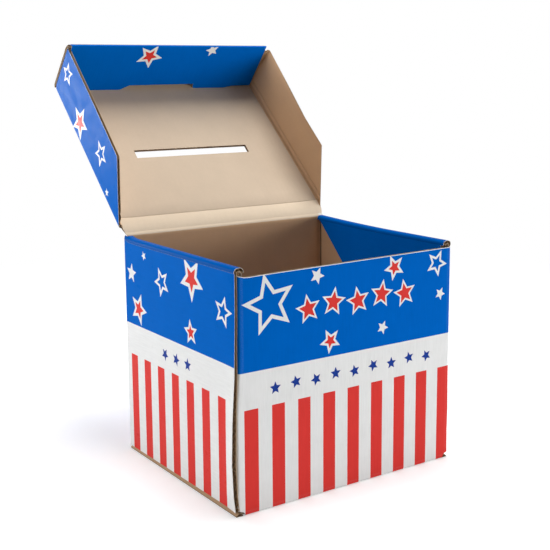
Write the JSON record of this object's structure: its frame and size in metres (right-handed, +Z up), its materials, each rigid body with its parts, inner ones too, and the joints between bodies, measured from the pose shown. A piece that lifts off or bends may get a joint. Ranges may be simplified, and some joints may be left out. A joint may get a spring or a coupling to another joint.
{
  "type": "ballot box",
  "caption": "Corrugated board ballot box with rolled-over double side walls and a hinged tray lid with a slot, leaning open.",
  "frame": {"origin": "centre of the underside of the bottom panel", "axes": "+X right as seen from the front, +Y towards the back wall and the hinge, +Z up"},
  "size_m": [0.2352, 0.3377, 0.3854],
  "materials": {
    "kraft_board": "matte kraft liner",
    "blue_board": "blue print, low gloss",
    "printed_board": "blue, white and red print, low gloss"
  },
  "bodies": {
    "box": {"bottom_panel": "kraft_board", "front_wall": "printed_board", "back_wall": "printed_board", "left_outer_wall": "printed_board", "right_outer_wall": "printed_board", "left_top_strip": "blue_board", "right_top_strip": "blue_board", "left_inner_wall": "blue_board", "right_inner_wall": "blue_board", "front_left_dust_flap": "kraft_board", "front_right_dust_flap": "kraft_board", "back_left_dust_flap": "kraft_board", "back_right_dust_flap": "kraft_board"},
    "lid": {"lid_hinge_strip": "blue_board", "lid_top": "blue_board", "lid_left_wall": "blue_board", "lid_right_wall": "blue_board", "lid_left_dust_flap": "kraft_board", "lid_right_dust_flap": "kraft_board", "lid_front_outer": "blue_board", "lid_front_top_strip": "blue_board", "lid_front_inner": "blue_board"}
  },
  "joints": [
    {"name": "lid_hinge", "type": "hinge", "parent": "box", "child": "lid", "pos_m": [0, 0.0955, 0.2061], "axis": [-1, 0, 0], "range_deg": [-137.5, 127.5]}
  ]
}
